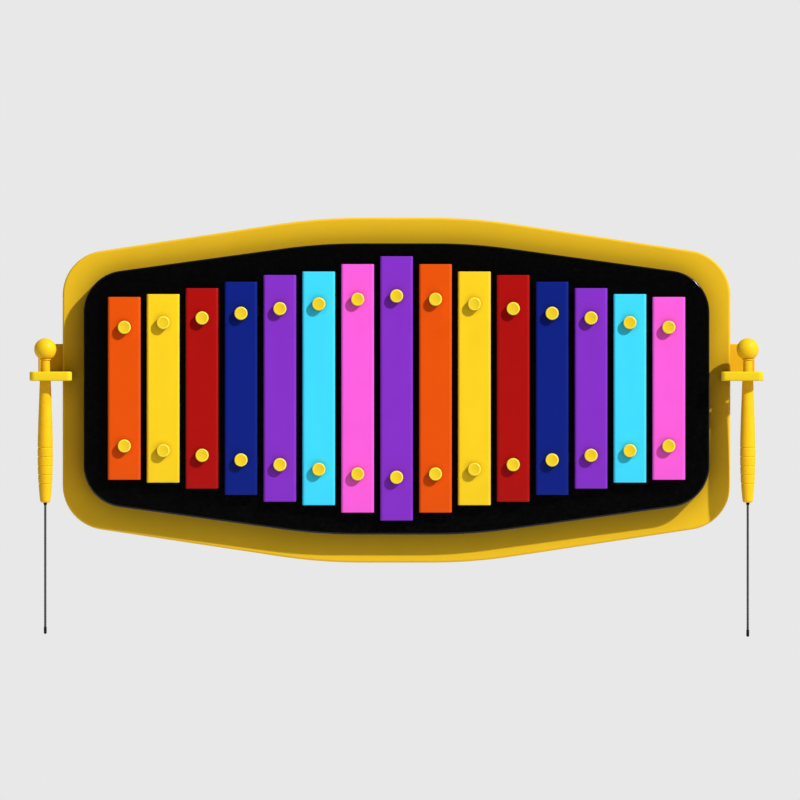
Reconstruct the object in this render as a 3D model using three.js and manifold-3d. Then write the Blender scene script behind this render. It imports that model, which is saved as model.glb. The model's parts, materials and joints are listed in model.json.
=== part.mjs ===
// Playground xylophone for a wall or fence: fifteen coloured bars on a raised black housing,
// a yellow panel behind it, and a tethered mallet in a bracket at each end.
// Millimetres. In the exported group +X is right, +Z is up, the front faces -Y and the wall is Y = 0.
// Inside the group named `wall`, the parts are laid out as seen on the wall:
// x to the right, y up, z out from the wall.

import * as THREE from 'three';
import { mergeVertices } from 'three/addons/utils/BufferGeometryUtils.js';
import Module from 'manifold-3d';

const wasm = await Module();
wasm.setup();

// ---------------------------------------------------------------- driving dimensions

const GAP = 0.3; // clearance between pieces that touch

// yellow panel
const PANEL_HALF_WIDTH = 575;
const PANEL_HALF_HEIGHT = 297;
const PANEL_SIDE_HALF = 230; // where the sloping edge would meet the upright side
const PANEL_CORNER_R = 77;
const PANEL_THICKNESS = 28;
const PANEL_EDGE_R = 3.5;

// black housing that carries the bars
const HOUSING_HALF_WIDTH = 539;
const HOUSING_HALF_HEIGHT = 251;
const HOUSING_SIDE_HALF = 195;
const HOUSING_CORNER_R = 72;
const HOUSING_DEPTH = 36.6;
const HOUSING_EDGE_R = 3;
const HOUSING_WALL = 8;
const HOUSING_RISE = 2; // its centre above the panel's centre
const HOUSING_CELLS = 10; // upright stiffening ribs divide its hollow into this many cells
const HOUSING_RIB = 4;

// both outlines: half length of the flat crest, and the radius that eases it into the slope
const CREST_HALF = 130;
const CREST_R = 950;

// backing board, on the wall behind the panel
const BACKING_HALF_WIDTH = 460;
const BACKING_HALF_HEIGHT = 190;
const BACKING_THICKNESS = 15;
const BACKING_CORNER_R = 40;
const FIXING_X = 400; // wall fixings, from the middle
const FIXING_Y = 130;
const FIXING_R = 5.2;
const FIXING_DEPTH = 12;

// bars: a major scale going down to the middle bar and up again
const BAR_COUNT = 15;
const BAR_PITCH = 67;
const BAR_WIDTH = 56.4;
const BAR_THICKNESS = 10;
const BAR_LONGEST = 455;
const BAR_OCTAVE_RATIO = 0.692; // length of the top bar over the length of the bottom one
const BAR_SEMITONES = [0, 2, 4, 5, 7, 9, 11, 12];
const BAR_EDGE_R = 2;
const BAR_CORNER_R = 2.5;
const BAR_HOLE_R = 5.5;
const BAR_RISE = 3;
const BAR_COLOURS = [0xed560a, 0xfbd323, 0xac1410, 0x112382, 0x8532c8, 0x44e0ff, 0xff5edc];
const MIDDLE_BAR_COLOUR = 0x8532c8;

// rubber rails under the bars: two straight legs that meet in a rounded knee
const RAIL_THICKNESS = 8;
const RAIL_HALF_BREADTH = 10;
const RAIL_PEAK = 158.5; // where the legs' centre lines would meet, from the rails' middle
const RAIL_SLOPE = 0.12;
const RAIL_KNEE_R = 320;
const RAIL_RISE = 6;
const RIB_HALF_BREADTH = 15; // the rib inside the housing that takes the bolts

// bolt with a moulded cap
const BOLT_R = 4;
const BOLT_HOLE_R = 4.4;
const BOLT_GRIP = 22; // how far the shank reaches into the housing
const CAP_R = 11.3;
const CAP_HEIGHT = 11;
const CAP_EDGE = 1.4;

// mallet brackets; x is for the right one
const MALLET_X = 605;
const MALLET_OUT = 50; // mallet axis in front of the panel's face
const BRACKET_THICKNESS = 15;
const BRACKET_BOTTOM = 15.8;
const SHELF_TOP = 32;
const SHELF_INNER = 559;
const SHELF_OUTER = 632;
const SHELF_OUT = 82.5; // shelf's front edge in front of the panel's face
const SHELF_CORNER_R = 9;
const SHELF_EDGE_R = 2.5;
const PLATE_TOP = 79.6;
const PLATE_INNER = 480;
const PLATE_OUTER = 617;
const PLATE_SCREW_X = [500, 550];
const PLATE_SCREW_R = 3.3;
const MALLET_HOLE_R = 16.5;

// mallet
const BALL_R = 19.1;
const BALL_CENTRE = 70.4;
const BALL_SEAT = 55.6; // flat under the ball, where the handle's collar meets it
const COLLAR_R = 9.7;
const COLLAR_DEPTH = 4;
const SPIGOT_R = 4.5;
const SPIGOT_TOP = 72;
const HANDLE_END = -193.8;
const GROOVES = [-99.5, -115.2, -131.2, -146.4, -161.9];
const GROOVE_DEPTH = 1;
const GROOVE_HALF = 1.4;
// radius and height down the handle, between the collar and the rounded end
const HANDLE_STATIONS = [
  [7.8, 51.0], [8.0, 36], [9.4, 18], [10.7, -17], [11.9, -48], [12.8, -80], [13.2, -107],
  [13.1, -125], [12.3, -150], [11.1, -168], [9.2, -187.5],
];

// tethers
const TETHER_R = 2.1;
const TETHER_SIDES = 8;
const TETHER_STEP = 12;
const TETHER_END_R = 2.5;
const TETHER_END_LENGTH = 12;
const LEFT_TETHER_LENGTH = 226; // with its end stop
const RIGHT_TETHER_LENGTH = 231;

// ---------------------------------------------------------------- layers, out from the wall

const panelBack = BACKING_THICKNESS + GAP;
const panelFront = BACKING_THICKNESS + PANEL_THICKNESS;
const housingBack = panelFront + GAP;
const housingFront = panelFront + HOUSING_DEPTH;
const railBack = housingFront + GAP;
const railFront = railBack + RAIL_THICKNESS;
const barBack = railFront + GAP;
const barFront = barBack + BAR_THICKNESS;
const malletOut = panelFront + MALLET_OUT;

// ---------------------------------------------------------------- helpers

// A closed outline of corners [x, y, radius], anticlockwise.
function roundedPolygon(corners) {
  const shape = new THREE.Shape();
  corners.forEach(([x, y, radius], i) => {
    const before = corners.at(i - 1);
    const after = corners[(i + 1) % corners.length];
    const along = new THREE.Vector2(x - before[0], y - before[1]).normalize();
    const away = new THREE.Vector2(after[0] - x, after[1] - y).normalize();
    const turn = Math.atan2(along.cross(away), along.dot(away));
    const side = Math.sign(turn);
    const reach = radius * Math.tan(Math.abs(turn) / 2);
    const centreX = x - along.x * reach - along.y * side * radius;
    const centreY = y - along.y * reach + along.x * side * radius;
    const start = Math.atan2(-along.x * side, along.y * side);
    shape.absarc(centreX, centreY, radius, start, start + turn, turn < 0);
  });
  return shape;
}

// An outline extruded out from the wall between two depths, with eased edges.
function slab(shape, back, front, edge, curveSegments = 4, bevelSegments = 2) {
  const geometry = new THREE.ExtrudeGeometry(shape, {
    depth: front - back - 2 * edge,
    bevelEnabled: edge > 0,
    bevelThickness: edge,
    bevelSize: edge,
    bevelOffset: -edge,
    bevelSegments,
    curveSegments,
  });
  return geometry.translate(0, 0, back + edge);
}

// A round bar along z, for cutting holes.
function drill(x, y, radius, back, front, segments = 12) {
  const geometry = new THREE.CylinderGeometry(radius, radius, front - back, segments);
  return geometry.rotateX(Math.PI / 2).translate(x, y, (back + front) / 2);
}

function toSolid(geometry) {
  const bare = geometry.clone();
  bare.deleteAttribute('normal');
  bare.deleteAttribute('uv');
  const merged = mergeVertices(bare, 1e-4);
  return new wasm.Manifold(new wasm.Mesh({
    numProp: 3,
    vertProperties: new Float32Array(merged.attributes.position.array),
    triVerts: new Uint32Array(merged.index.array),
  }));
}

function toGeometry(solid) {
  const mesh = solid.getMesh();
  const geometry = new THREE.BufferGeometry();
  geometry.setAttribute('position', new THREE.BufferAttribute(mesh.vertProperties, 3));
  geometry.setIndex(new THREE.BufferAttribute(mesh.triVerts, 1));
  geometry.computeVertexNormals();
  return geometry;
}

function cut(body, tools) {
  return tools.reduce((solid, tool) => solid.subtract(toSolid(tool)), body);
}

function part(name, geometry, color, roughness, metalness = 0) {
  const material = new THREE.MeshStandardMaterial({ color, roughness, metalness });
  const mesh = new THREE.Mesh(geometry, material);
  mesh.name = name;
  return mesh;
}

const YELLOW = 0xf5c31e;
const MALLET_YELLOW = 0xfacd1e;
const BLACK = 0x0b0c0b;
const RUBBER = 0x141414;
const STEEL = 0x606468;

// ---------------------------------------------------------------- panel, housing and backing

function panelOutline(halfWidth, halfHeight, sideHalf, cornerR) {
  const quarter = [[halfWidth, sideHalf, cornerR], [CREST_HALF, halfHeight, CREST_R]];
  const mirrored = quarter.map(([x, y, r]) => [-x, y, r]).reverse();
  const upper = [...quarter, ...mirrored];
  const lower = upper.map(([x, y, r]) => [-x, -y, r]);
  return roundedPolygon([...upper, ...lower]);
}

function basePanel() {
  const outline = panelOutline(PANEL_HALF_WIDTH, PANEL_HALF_HEIGHT, PANEL_SIDE_HALF, PANEL_CORNER_R);
  return part('base_panel', slab(outline, panelBack, panelFront, PANEL_EDGE_R), YELLOW, 0.45);
}

// Distance of a rail's centre line from the rails' middle, at a place along the xylophone.
function railHalfSpan(x) {
  const angle = Math.atan(RAIL_SLOPE);
  if (Math.abs(x) > RAIL_KNEE_R * Math.sin(angle)) {
    return RAIL_PEAK - RAIL_SLOPE * Math.abs(x);
  }
  const kneeCentre = RAIL_PEAK - RAIL_KNEE_R / Math.cos(angle);
  return kneeCentre + Math.sqrt(RAIL_KNEE_R ** 2 - x ** 2);
}

// A rail-shaped outline; side is +1 for the upper rail and -1 for the lower.
function railOutline(side, halfBreadth, overhang) {
  const end = BAR_PITCH * (BAR_COUNT - 1) / 2 + overhang;
  const endSpan = RAIL_PEAK - RAIL_SLOPE * end;
  const half = halfBreadth * Math.sqrt(1 + RAIL_SLOPE ** 2);
  const corners = [
    [end, endSpan - half, 2], [end, endSpan + half, 2], [0, RAIL_PEAK + half, RAIL_KNEE_R + halfBreadth],
    [-end, endSpan + half, 2], [-end, endSpan - half, 2], [0, RAIL_PEAK - half, RAIL_KNEE_R - halfBreadth],
  ];
  return roundedPolygon(corners.map(([x, y, r]) => [side * x, RAIL_RISE + side * y, r]));
}

function boltPlaces() {
  return barPlaces().flatMap(({ x }) => [1, -1].map((side) => [x, RAIL_RISE + side * railHalfSpan(x)]));
}

function barHousing() {
  const outline = panelOutline(
    HOUSING_HALF_WIDTH, HOUSING_HALF_HEIGHT, HOUSING_SIDE_HALF, HOUSING_CORNER_R);
  const hollow = panelOutline(
    HOUSING_HALF_WIDTH - HOUSING_WALL, HOUSING_HALF_HEIGHT - HOUSING_WALL,
    HOUSING_SIDE_HALF - HOUSING_WALL, HOUSING_CORNER_R - HOUSING_WALL);
  const wallBack = housingFront - HOUSING_WALL;
  const body = slab(outline, housingBack, housingFront, HOUSING_EDGE_R).translate(0, HOUSING_RISE, 0);
  const cavity = slab(hollow, housingBack - 5, wallBack, 0).translate(0, HOUSING_RISE, 0);
  const boltRibs = [1, -1].map((side) =>
    slab(railOutline(side, RIB_HALF_BREADTH, 100), housingBack - 6, wallBack + 1, 0));
  const cell = 2 * HOUSING_HALF_WIDTH / HOUSING_CELLS;
  const uprightRibs = Array.from({ length: HOUSING_CELLS - 1 }, (_, i) =>
    new THREE.BoxGeometry(HOUSING_RIB, 2 * HOUSING_HALF_HEIGHT, 2 * HOUSING_DEPTH)
      .translate((i + 1) * cell - HOUSING_HALF_WIDTH, HOUSING_RISE, wallBack));
  const bores = boltPlaces().map(([x, y]) =>
    drill(x, y, BOLT_HOLE_R, housingFront - BOLT_GRIP - 2, housingFront + 1));
  const shell = toSolid(body).subtract(cut(toSolid(cavity), [...boltRibs, ...uprightRibs]));
  return part('bar_housing', toGeometry(cut(shell, bores)), BLACK, 0.35);
}

function rail(side, name) {
  const band = toSolid(slab(railOutline(side, RAIL_HALF_BREADTH, 24), railBack, railFront, 0.8, 2, 1));
  const bores = boltPlaces()
    .filter(([, y]) => side * (y - RAIL_RISE) > 0)
    .map(([x, y]) => drill(x, y, BOLT_HOLE_R, railBack - 1, railFront + 1));
  return part(name, toGeometry(cut(band, bores)), RUBBER, 0.85);
}

function backingBoard() {
  const w = BACKING_HALF_WIDTH;
  const h = BACKING_HALF_HEIGHT;
  const outline = roundedPolygon(
    [[w, -h], [w, h], [-w, h], [-w, -h]].map(([x, y]) => [x, y, BACKING_CORNER_R]));
  const board = toSolid(slab(outline, 0, BACKING_THICKNESS, 1, 4, 1));
  const fixings = [-1, 1].flatMap((i) => [-1, 1].map((j) =>
    drill(i * FIXING_X, j * FIXING_Y, FIXING_R, -1, FIXING_DEPTH, 16)));
  return part('backing_board', toGeometry(cut(board, fixings)), BLACK, 0.6);
}

// ---------------------------------------------------------------- bars and their bolts

// Each bar's number from the left, place, length and colour.
function barPlaces() {
  const middle = (BAR_COUNT - 1) / 2;
  return Array.from({ length: BAR_COUNT }, (_, i) => {
    const steps = BAR_SEMITONES[Math.abs(i - middle)];
    const afterMiddle = i > middle ? i - 1 : i;
    return {
      number: String(i + 1).padStart(2, '0'),
      x: (i - middle) * BAR_PITCH,
      length: BAR_LONGEST * BAR_OCTAVE_RATIO ** (steps / 12),
      colour: i === middle ? MIDDLE_BAR_COLOUR : BAR_COLOURS[afterMiddle % BAR_COLOURS.length],
    };
  });
}

function bar({ number, x, length, colour }) {
  const w = BAR_WIDTH / 2;
  const h = length / 2;
  const shape = roundedPolygon(
    [[w, -h], [w, h], [-w, h], [-w, -h]].map(([cx, cy]) => [cx, cy + BAR_RISE, BAR_CORNER_R]));
  const blank = toSolid(slab(shape, barBack, barFront, BAR_EDGE_R, 1, 1));
  const holes = [1, -1].map((side) =>
    drill(0, RAIL_RISE + side * railHalfSpan(x), BAR_HOLE_R, barBack - 1, barFront + 1));
  const mesh = part(`bar_${number}`, toGeometry(cut(blank, holes)), colour, 0.4);
  mesh.position.x = x;
  return mesh;
}

function bolt(name, x, y) {
  const head = barFront + GAP;
  const tip = housingFront - BOLT_GRIP;
  const profile = [
    [0, tip], [BOLT_R, tip], [BOLT_R, head], [CAP_R, head],
    [CAP_R, head + CAP_HEIGHT - CAP_EDGE], [CAP_R - CAP_EDGE, head + CAP_HEIGHT], [0, head + CAP_HEIGHT],
  ].map(([r, z]) => new THREE.Vector2(r, z));
  const geometry = new THREE.LatheGeometry(profile, 16).rotateX(Math.PI / 2);
  const mesh = part(name, geometry, YELLOW, 0.4);
  mesh.position.set(x, y, 0);
  return mesh;
}

function barSet() {
  return barPlaces().flatMap((place) => [
    bar(place),
    bolt(`upper_bolt_${place.number}`, place.x, RAIL_RISE + railHalfSpan(place.x)),
    bolt(`lower_bolt_${place.number}`, place.x, RAIL_RISE - railHalfSpan(place.x)),
  ]);
}

// ---------------------------------------------------------------- brackets and mallets

// side is +1 for the right-hand end and -1 for the left-hand one.
function bracket(side, name) {
  const front = panelFront + SHELF_OUT;
  const notchX = PANEL_HALF_WIDTH + 2 * GAP;
  const notchZ = panelFront + 2 * GAP;
  const plan = [
    [SHELF_OUTER, 0, 3], [SHELF_OUTER, front, SHELF_CORNER_R], [SHELF_INNER, front, SHELF_CORNER_R],
    [SHELF_INNER, notchZ, 3], [notchX, notchZ, 1], [notchX, 0, 3],
  ];
  const face = [
    [PLATE_OUTER, BRACKET_BOTTOM], [PLATE_OUTER, PLATE_TOP],
    [PLATE_INNER, PLATE_TOP], [PLATE_INNER, BRACKET_BOTTOM],
  ].map(([x, y]) => [x, y, 4]);
  const flip = (corners) => (side > 0 ? corners : corners.map(([x, y, r]) => [-x, y, r]).reverse());
  const shelf = slab(roundedPolygon(flip(plan)), -SHELF_TOP, -BRACKET_BOTTOM, SHELF_EDGE_R, 3, 2)
    .rotateX(Math.PI / 2);
  const plate = slab(roundedPolygon(flip(face)), 0, BRACKET_THICKNESS, 1.2, 2, 1);
  const malletHole = new THREE.CylinderGeometry(MALLET_HOLE_R, MALLET_HOLE_R, 60, 24)
    .translate(side * MALLET_X, SHELF_TOP, malletOut);
  const screwHoles = PLATE_SCREW_X.map((x) =>
    drill(side * x, (PLATE_TOP + BRACKET_BOTTOM) / 2, PLATE_SCREW_R, -1, BRACKET_THICKNESS + 1));
  const body = toSolid(plate).add(toSolid(shelf));
  return part(name, toGeometry(cut(body, [malletHole, ...screwHoles])), YELLOW, 0.45);
}

function malletHead(side, name) {
  const seatAngle = Math.asin((BALL_SEAT - BALL_CENTRE) / BALL_R);
  const profile = [[0, SPIGOT_TOP + GAP], [SPIGOT_R + GAP, SPIGOT_TOP + GAP], [SPIGOT_R + GAP, BALL_SEAT]];
  const steps = 14;
  for (let i = 0; i <= steps; i += 1) {
    const angle = seatAngle + (Math.PI / 2 - seatAngle) * (i / steps);
    profile.push([i === steps ? 0 : BALL_R * Math.cos(angle), BALL_CENTRE + BALL_R * Math.sin(angle)]);
  }
  const mesh = part(name, lathe(profile, 22), MALLET_YELLOW, 0.35);
  mesh.position.set(side * MALLET_X, 0, malletOut);
  return mesh;
}

function lathe(profile, segments) {
  return new THREE.LatheGeometry(profile.map(([r, y]) => new THREE.Vector2(r, y)), segments);
}

// Radius of the handle at a height, straight between the stations.
function handleRadius(height) {
  const next = HANDLE_STATIONS.findIndex(([, y]) => y <= height);
  const [r0, y0] = HANDLE_STATIONS[next - 1];
  const [r1, y1] = HANDLE_STATIONS[next];
  return r0 + (r1 - r0) * (y0 - height) / (y0 - y1);
}

function malletHandle(side, name) {
  const collarTop = BALL_SEAT - GAP;
  const collar = [
    [0, SPIGOT_TOP], [SPIGOT_R, SPIGOT_TOP], [SPIGOT_R, collarTop],
    [COLLAR_R - 0.8, collarTop], [COLLAR_R, collarTop - 1],
    [COLLAR_R, collarTop - COLLAR_DEPTH + 1], [COLLAR_R - 0.8, collarTop - COLLAR_DEPTH],
  ];
  const ringed = GROOVES.flatMap((y) => [
    [handleRadius(y + GROOVE_HALF), y + GROOVE_HALF],
    [handleRadius(y) - GROOVE_DEPTH, y],
    [handleRadius(y - GROOVE_HALF), y - GROOVE_HALF],
  ]);
  const stations = HANDLE_STATIONS.filter(([, y]) => GROOVES.every((g) => Math.abs(g - y) > GROOVE_HALF));
  const body = [...stations, ...ringed].sort((a, b) => b[1] - a[1]);
  const end = [[7.9, HANDLE_END + 2.6], [5.6, HANDLE_END + 0.5], [0, HANDLE_END]];
  const profile = [...collar, ...body, ...end].reverse();
  const mesh = part(name, lathe(profile, 20), MALLET_YELLOW, 0.4);
  mesh.position.set(side * MALLET_X, 0, malletOut);
  return mesh;
}

function tether(side, name, length) {
  const top = HANDLE_END - GAP;
  const run = length - TETHER_END_LENGTH - 2 * GAP;
  const route = new THREE.LineCurve3(new THREE.Vector3(0, top, 0), new THREE.Vector3(0, top - run, 0));
  const section = new THREE.Shape();
  section.absarc(0, 0, TETHER_R, 0, 2 * Math.PI, false);
  const geometry = new THREE.ExtrudeGeometry(section, {
    steps: Math.round(run / TETHER_STEP),
    curveSegments: TETHER_SIDES / 2, // a full circle gets two sides per segment
    extrudePath: route,
  });
  const cable = part(name, geometry, STEEL, 0.45, 0.6);
  const endTop = top - run - GAP;
  const r = TETHER_END_R;
  const stop = part(`${name}_end`, lathe([
    [0, -TETHER_END_LENGTH], [r - 1.2, -TETHER_END_LENGTH], [r, 1.4 - TETHER_END_LENGTH],
    [r, -0.6], [r - 0.6, 0], [0, 0],
  ], 12), RUBBER, 0.5);
  cable.position.set(side * MALLET_X, 0, malletOut);
  stop.position.set(side * MALLET_X, endTop, malletOut);
  return [cable, stop];
}

// ---------------------------------------------------------------- assembly

const wall = new THREE.Group();
wall.rotation.x = Math.PI / 2;
wall.add(backingBoard(), basePanel(), barHousing());
wall.add(rail(1, 'upper_rail'), rail(-1, 'lower_rail'));
wall.add(...barSet());
wall.add(bracket(-1, 'left_bracket'), bracket(1, 'right_bracket'));
wall.add(malletHead(-1, 'left_mallet_head'), malletHead(1, 'right_mallet_head'));
wall.add(malletHandle(-1, 'left_mallet_handle'), malletHandle(1, 'right_mallet_handle'));
wall.add(...tether(-1, 'left_tether', LEFT_TETHER_LENGTH));
wall.add(...tether(1, 'right_tether', RIGHT_TETHER_LENGTH));

const xylophone = new THREE.Group();
xylophone.add(wall);

export default xylophone;
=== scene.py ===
# Looks for the wall-mounted xylophone: fine meshes, materials, light and camera round the CAD frame.
# Metres. +X is right, +Z is up, the front faces -Y and the wall is Y = 0. "Out" is distance from the wall.
import json
import math

import bmesh
import bpy
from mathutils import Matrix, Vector
from mathutils.geometry import tessellate_polygon


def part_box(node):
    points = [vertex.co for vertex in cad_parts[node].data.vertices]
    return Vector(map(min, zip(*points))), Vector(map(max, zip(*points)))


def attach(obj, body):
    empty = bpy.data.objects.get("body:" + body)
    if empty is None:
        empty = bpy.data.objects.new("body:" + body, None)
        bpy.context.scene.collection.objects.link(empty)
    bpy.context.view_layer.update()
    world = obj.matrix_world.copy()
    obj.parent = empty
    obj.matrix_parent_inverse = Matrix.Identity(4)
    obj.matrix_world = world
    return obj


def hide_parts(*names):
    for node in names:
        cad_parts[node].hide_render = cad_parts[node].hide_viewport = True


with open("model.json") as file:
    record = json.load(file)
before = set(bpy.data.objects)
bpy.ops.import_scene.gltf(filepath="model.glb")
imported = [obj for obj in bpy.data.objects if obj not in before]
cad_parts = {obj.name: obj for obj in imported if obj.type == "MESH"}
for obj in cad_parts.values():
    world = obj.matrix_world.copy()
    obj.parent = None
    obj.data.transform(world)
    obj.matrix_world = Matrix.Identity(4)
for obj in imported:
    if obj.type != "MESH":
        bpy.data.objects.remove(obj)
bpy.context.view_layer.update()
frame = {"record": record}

ENDS = {"left": -1, "right": 1}
BODY = "panel"

# ---------------------------------------------------------------- dimensions

FLAT = 0.0005  # a narrow flat strip beside every rounded edge keeps the big faces flat
SAME_POINT = 1e-6  # points closer than this are one point

# outlines of the panel and the housing
CREST_HALF, CREST_R = 0.130, 0.950
PANEL_SIDE_HALF, PANEL_CORNER_R, PANEL_EDGE_R = 0.230, 0.077, 0.0035
HOUSING_SIDE_HALF, HOUSING_CORNER_R, HOUSING_EDGE_R = 0.195, 0.072, 0.003
BACKING_CORNER_R, BACKING_EDGE_R = 0.040, 0.0015

# blind fixing holes in the backing board, each with a threaded brass insert
FIXING_X, FIXING_Z, FIXING_R, FIXING_CHAMFER = 0.400, 0.130, 0.0052, 0.0008
INSERT_R, INSERT_MOUTH_R, INSERT_BORE_R = 0.0049, 0.0042, 0.0037
INSERT_DEPTH, INSERT_FLOOR, INSERT_PITCH, INSERT_THREAD = 0.012, 0.0005, 0.0006, 0.0003
INSERT_RIDGES, INSERT_LEAD, INSERT_SUNK = 18, 0.0004, 0.0002

# bars
BAR_COUNT = 15
BAR_FRONT_R, BAR_BACK_R, BAR_END_R = 0.0042, 0.002, 0.0014
BAR_HOLE_R = 0.0055

# rails: straight legs that meet in a rounded knee
RAIL_HALF_BREADTH, RAIL_SLOPE, RAIL_KNEE_R = 0.010, 0.12, 0.320
RAIL_EDGE_R, RAIL_END_R = 0.001, 0.002

# bolts with caps
CAP_EDGE, CAP_DISH, SHANK_R = 0.0016, 0.0002, 0.004
CAP_SKIRT_EDGE, CAP_RIM, SHANK_TIP_EDGE = 0.0005, 0.0008, 0.001
WASHER_R, WASHER_THICK, WASHER_EDGE_R, WASHER_BORE_GAP = 0.0102, 0.0013, 0.0003, 0.0003
WASHER_BELOW, WASHER_ABOVE = 0.0001, 0.00005  # clear of the bar and of the cap

# brackets
SHELF_CORNER_R, SHELF_EDGE_R, SHELF_THICK = 0.009, 0.0026, 0.0162
PLATE_EDGE_R, PLATE_CORNER_R, PLATE_THICK = 0.0015, 0.004, 0.015
PLATE_SCREW_X = (0.500, 0.550)
PLATE_SETBACK = 0.015  # how far the plate stops short of the shelf's outer edge
SHELF_REACH = 0.046  # from the mallet's axis to the shelf's inner edge
SHELF_BACK_R, NOTCH_R, NOTCH_GAP = 0.003, 0.001, 0.0006
MALLET_HOLE_R, HOLE_CHAMFER = 0.0165, 0.0012
WELD = 0.0004  # the step between the plate and the shelf where they are joined

# mallets
HANDLE_STATIONS = (  # height and radius down the handle
    (0.0508, 0.0079), (0.0360, 0.0080), (0.0180, 0.0094), (-0.0170, 0.0107), (-0.0480, 0.0119),
    (-0.0800, 0.0128), (-0.1070, 0.0132), (-0.1250, 0.0131), (-0.1500, 0.0123), (-0.1680, 0.0111),
    (-0.1875, 0.0093),
)
GROOVES = (0.0503, -0.0995, -0.1152, -0.1312, -0.1464, -0.1619)
GROOVE_DEPTH, GROOVE_HALF = 0.0011, 0.0009
HANDLE_END_R, HANDLE_END_STEP, HANDLE_END_NARROWING = 0.0044, 0.0002, 0.85
COLLAR_R, COLLAR_DEPTH, COLLAR_ROUND, COLLAR_STEP = 0.0097, 0.0040, 0.0016, 0.0001
SPIGOT_R, SPIGOT_SIDE_GAP, JOINT_GAP = 0.0045, 0.0002, 0.0003
HANDLE_BORE_R, HANDLE_BORE_FLOOR_R, HANDLE_BORE_DEPTH = 0.0036, 0.0034, 0.0012

# tethers: six strands laid round a core
TETHER_DIAMETER = 0.0042
STRANDS, STRAND_LAY, STRAND_SIDES, STRAND_LEVELS = 6, 0.028, 8, 130
ROUTE_STEP = 5  # every fifth level of the rope is a point of the cord's path
ROPE_IN_SLEEVE, SLEEVE_BORE_GAP, SLEEVE_LIP = 0.002, 0.0001, 0.0004
SLEEVE_TIP = 0.8  # the rounding of the sleeve's tip, as a share of its radius
BOOT_STATIONS = ((0.0033, 0.0), (0.0032, 0.0018), (0.0026, 0.0044), (0.0024, 0.0048))  # radius and drop
BOOT_ROOT = 0.0008  # how far the boot starts inside the handle

# screws
HOUSING_SCREW_INSET, HOUSING_SCREW_PITCH, HOUSING_SCREW_SIDE = 0.018, 0.118, 0.120
HOUSING_SCREW_STEPS = range(-4, 5)
BACKING_SCREW_X, BACKING_SCREW_Z = (-0.430, -0.215, 0.0, 0.215, 0.430), 0.165
LONG_SCREW, SHORT_SCREW = 0.045, 0.036
SCREW_HEAD_R, SCREW_HEAD_DEPTH, SCREW_SHANK_R, SCREW_SOCKET_R = 0.0062, 0.0034, 0.0029, 0.0026
SCREW_SUNK, SCREW_SOCKET_DEPTH, SCREW_EDGE = 0.0002, 0.0022, 0.0003
SCREW_POINT_LENGTH, SCREW_POINT_INSET = 0.003, 0.002
SCREW_HEAD_GAP, SCREW_SHANK_GAP, SCREW_HOLE_EDGE = 0.0002, 0.0003, 0.0004

# ---------------------------------------------------------------- places, from the frame

panel_low, panel_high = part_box("base_panel")
housing_low, housing_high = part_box("bar_housing")
backing_low, backing_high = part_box("backing_board")
panel_front = -panel_low.y
mallet_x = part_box("right_tether")[0].x / 2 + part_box("right_tether")[1].x / 2
mallet_out = -(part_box("right_tether")[0].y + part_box("right_tether")[1].y) / 2


def front(u, v, w):
    """A point on an outline seen from the front: u right, v up, w out from the wall."""
    return Vector((u, -w, v))


def upright(u, v, w):
    """A point on an outline seen from above: u right, v out from the wall, w up."""
    return Vector((u, -v, w))


# ---------------------------------------------------------------- camera, light and floor

FRAME_WIDTH = 1.3780
CAMERA_X, CAMERA_Z, CAMERA_DISTANCE = 0.0060, -0.0170, 4.0
BACKGROUND = 0.807
FLOOR_Z, FLOOR_HALF, FLOOR_LEVEL = -1.0, 5.5, 0.735

# suns: strength, width in degrees, and the direction that they shine from
SUNS = {
    "key": (3.25, 1.6, (1, -1, 1.03)),
    "edge": (0.6, 12, (1, -0.2, 1)),
}
# how bright the surround is along a direction's Y and X: from low, from high, to low, to high
BRIGHTER_BEHIND = (-0.97, -0.70, 0.03, 0.71)
BRIGHTER_RIGHT = (-1.0, 0.1, 0.43, 0.68)


def make_camera():
    data = bpy.data.cameras.new("camera")
    data.type = "ORTHO"
    data.ortho_scale = FRAME_WIDTH
    data.clip_end = 100
    camera = bpy.data.objects.new("camera", data)
    camera.location = (CAMERA_X, -panel_front - CAMERA_DISTANCE, CAMERA_Z)
    camera.rotation_euler = (math.pi / 2, 0, 0)
    bpy.context.scene.collection.objects.link(camera)
    bpy.context.scene.camera = camera


def aim(thing, direction):
    """Turns a light so that it shines from that direction."""
    thing.rotation_mode = "QUATERNION"
    thing.rotation_quaternion = Vector(direction).to_track_quat("Z", "Y")


def make_sun(name, energy, width, direction):
    light = bpy.data.lights.new(name, "SUN")
    light.energy = energy
    light.angle = math.radians(width)
    placed = bpy.data.objects.new(name, light)
    aim(placed, direction)
    bpy.context.scene.collection.objects.link(placed)


def ranged(tree, value, limits, interpolation="LINEAR"):
    """A value mapped from one range to another, by from low, from high, to low and to high."""
    made = tree.nodes.new("ShaderNodeMapRange")
    made.interpolation_type = interpolation
    for name, limit in zip(("From Min", "From Max", "To Min", "To Max"), limits):
        made.inputs[name].default_value = limit
    tree.links.new(value, made.inputs["Value"])
    return made.outputs["Result"]


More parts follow.
